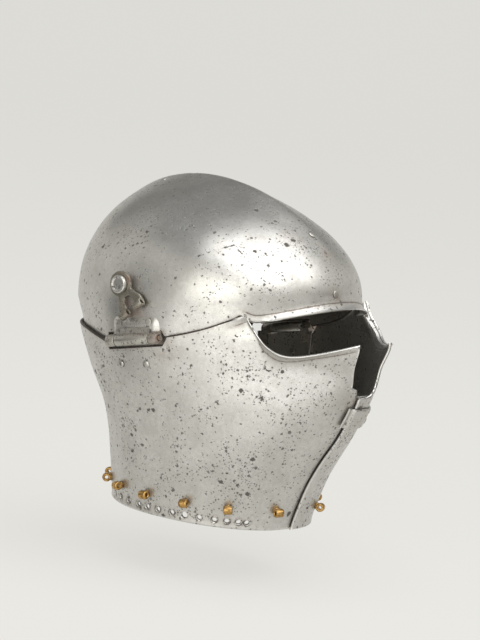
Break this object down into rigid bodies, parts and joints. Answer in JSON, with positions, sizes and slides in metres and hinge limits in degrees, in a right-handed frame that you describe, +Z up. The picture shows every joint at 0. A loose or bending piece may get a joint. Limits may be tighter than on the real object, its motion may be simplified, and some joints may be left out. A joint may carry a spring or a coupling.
{
  "type": "knight helmet",
  "caption": "Steel armet with a keeled skull, two hinged cheekpieces lapping at the chin, side visor pivots and brass staples above the neck rim.",
  "frame": {"origin": "centre of the outline on the ground plane that the neck rim stands on", "axes": "+Z up out of the crown, -Y the way the face looks, +X the wearer's left"},
  "size_m": [0.2104, 0.2594, 0.2509],
  "materials": {
    "skull": "old polished steel with dark pitting",
    "cheek": "old polished steel with dark pitting",
    "hinge": "rough forged steel, lightly rusted",
    "arm": "rough brown steel",
    "rivet": "worn bright steel",
    "clasp": "dull grey steel",
    "brass": "aged brass with dark corrosion round the shanks"
  },
  "bodies": {
    "skull": {"skull": "skull", "keel_rivet_1": "rivet", "keel_rivet_2": "rivet", "right_hinge_upper_leaf": "hinge", "right_hinge_pin": "rivet", "right_upper_leaf_rivet_1": "rivet", "right_upper_leaf_rivet_2": "rivet", "right_visor_pivot": "rivet", "left_hinge_upper_leaf": "hinge", "left_hinge_pin": "rivet", "left_upper_leaf_rivet_1": "rivet", "left_upper_leaf_rivet_2": "rivet", "left_visor_pivot": "rivet"},
    "right_cheek": {"right_cheekpiece": "cheek", "right_vervelle_1": "brass", "right_vervelle_2": "brass", "right_vervelle_3": "brass", "right_vervelle_4": "brass", "right_vervelle_5": "brass", "right_vervelle_6": "brass", "right_vervelle_7": "brass", "right_hinge_lower_leaf": "hinge", "right_lower_leaf_rivet_1": "rivet", "right_lower_leaf_rivet_2": "rivet"},
    "left_cheek": {"left_cheekpiece": "cheek", "left_vervelle_1": "brass", "left_vervelle_2": "brass", "left_vervelle_3": "brass", "left_vervelle_4": "brass", "left_vervelle_5": "brass", "left_vervelle_6": "brass", "left_vervelle_7": "brass", "left_hinge_lower_leaf": "hinge", "left_lower_leaf_rivet_1": "rivet", "left_lower_leaf_rivet_2": "rivet", "chin_clasp": "clasp", "clasp_rivet_1": "rivet", "clasp_rivet_2": "rivet"},
    "right_arm": {"right_visor_arm": "arm"},
    "left_arm": {"left_visor_arm": "arm"}
  },
  "joints": [
    {"name": "left_cheek_hinge", "type": "hinge", "parent": "skull", "child": "left_cheek", "pos_m": [0.097, 0.01771, 0.1318], "axis": [0, -0.9759, 0.2181], "range_deg": [0, 85]},
    {"name": "right_cheek_hinge", "type": "hinge", "parent": "skull", "child": "right_cheek", "pos_m": [-0.097, 0.01771, 0.1318], "axis": [0, 0.9759, -0.2181], "range_deg": [0, 85]},
    {"name": "left_visor_arm_pivot", "type": "hinge", "parent": "skull", "child": "left_arm", "pos_m": [0.1, 0.03264, 0.1705], "axis": [-1, 0, 0], "range_deg": [-35, 80]},
    {"name": "right_visor_arm_pivot", "type": "hinge", "parent": "skull", "child": "right_arm", "pos_m": [-0.1, 0.03264, 0.1705], "axis": [-1, 0, 0], "range_deg": [-35, 80]}
  ],
  "couplings": [
    {"joint": "right_cheek_hinge", "follows": "left_cheek_hinge", "ratio": 1}
  ]
}
